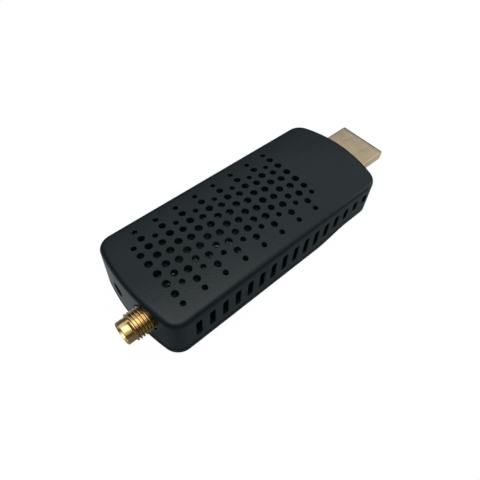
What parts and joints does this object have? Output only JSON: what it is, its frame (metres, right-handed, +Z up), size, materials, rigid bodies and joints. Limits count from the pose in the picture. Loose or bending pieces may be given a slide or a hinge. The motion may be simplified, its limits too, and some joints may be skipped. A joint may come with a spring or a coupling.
{
  "type": "digital tv receiver",
  "caption": "Stick-shaped digital television receiver in a crowned black vented case, with an HDMI plug at one end and a gold threaded antenna socket at the other.",
  "frame": {"origin": "middle of the overall footprint, on the level that the flat underside rests on", "axes": "+X along the stick towards the HDMI plug, +Y towards the side with the wide port, +Z up through the crowned top"},
  "size_m": [0.085, 0.0286, 0.0138],
  "materials": {
    "case_plastic": "fine matt moulded texture",
    "cover_plastic": "fine matt moulded texture",
    "label": "plain satin film",
    "board": "green solder mask",
    "steel": "plain tinned sheet",
    "plug_metal": "satin nickel over a warm base",
    "gold": "bright gold plating",
    "contact_gold": "gold flash",
    "black_moulding": "moulded insulator",
    "white_insulator": "waxy fluoropolymer",
    "chip_black": "epoxy moulding",
    "tin": "tinned",
    "pad": "soft silicone",
    "sink": "plain anodised",
    "ceramic_tan": "fired ceramic",
    "ferrite": "pressed ferrite",
    "can_metal": "crystal can",
    "light_body": "clear resin"
  },
  "bodies": {
    "root": {"top_cover": "case_plastic", "bottom_cover": "cover_plastic", "rating_label": "label", "main_board": "board", "board_screws": "steel", "hdmi_shell": "plug_metal", "hdmi_insulator": "black_moulding", "hdmi_contacts": "contact_gold", "antenna_body": "gold", "antenna_insulator": "white_insulator", "antenna_contact": "contact_gold", "jack_body": "black_moulding", "jack_springs": "tin", "usb_shell": "steel", "usb_insulator": "black_moulding", "usb_contacts": "contact_gold", "power_shell": "steel", "power_insulator": "black_moulding", "power_contacts": "contact_gold", "decoder_chip": "chip_black", "decoder_leads": "tin", "thermal_pad": "pad", "heat_sink": "sink", "tuner_fence": "steel", "tuner_lid": "steel", "tuner_chip": "chip_black", "tuner_crystal": "can_metal", "tuner_coils": "ferrite", "flash_chip": "chip_black", "flash_leads": "tin", "main_crystal": "can_metal", "regulators": "chip_black", "regulator_leads": "tin", "power_inductors": "ferrite", "inductor_terminals": "tin", "bulk_capacitors": "ceramic_tan", "bulk_terminals": "tin", "ceramic_capacitors": "ceramic_tan", "chip_resistors": "chip_black", "chip_terminals": "tin", "surge_arrays": "chip_black", "status_light": "light_body"}
  },
  "joints": []
}
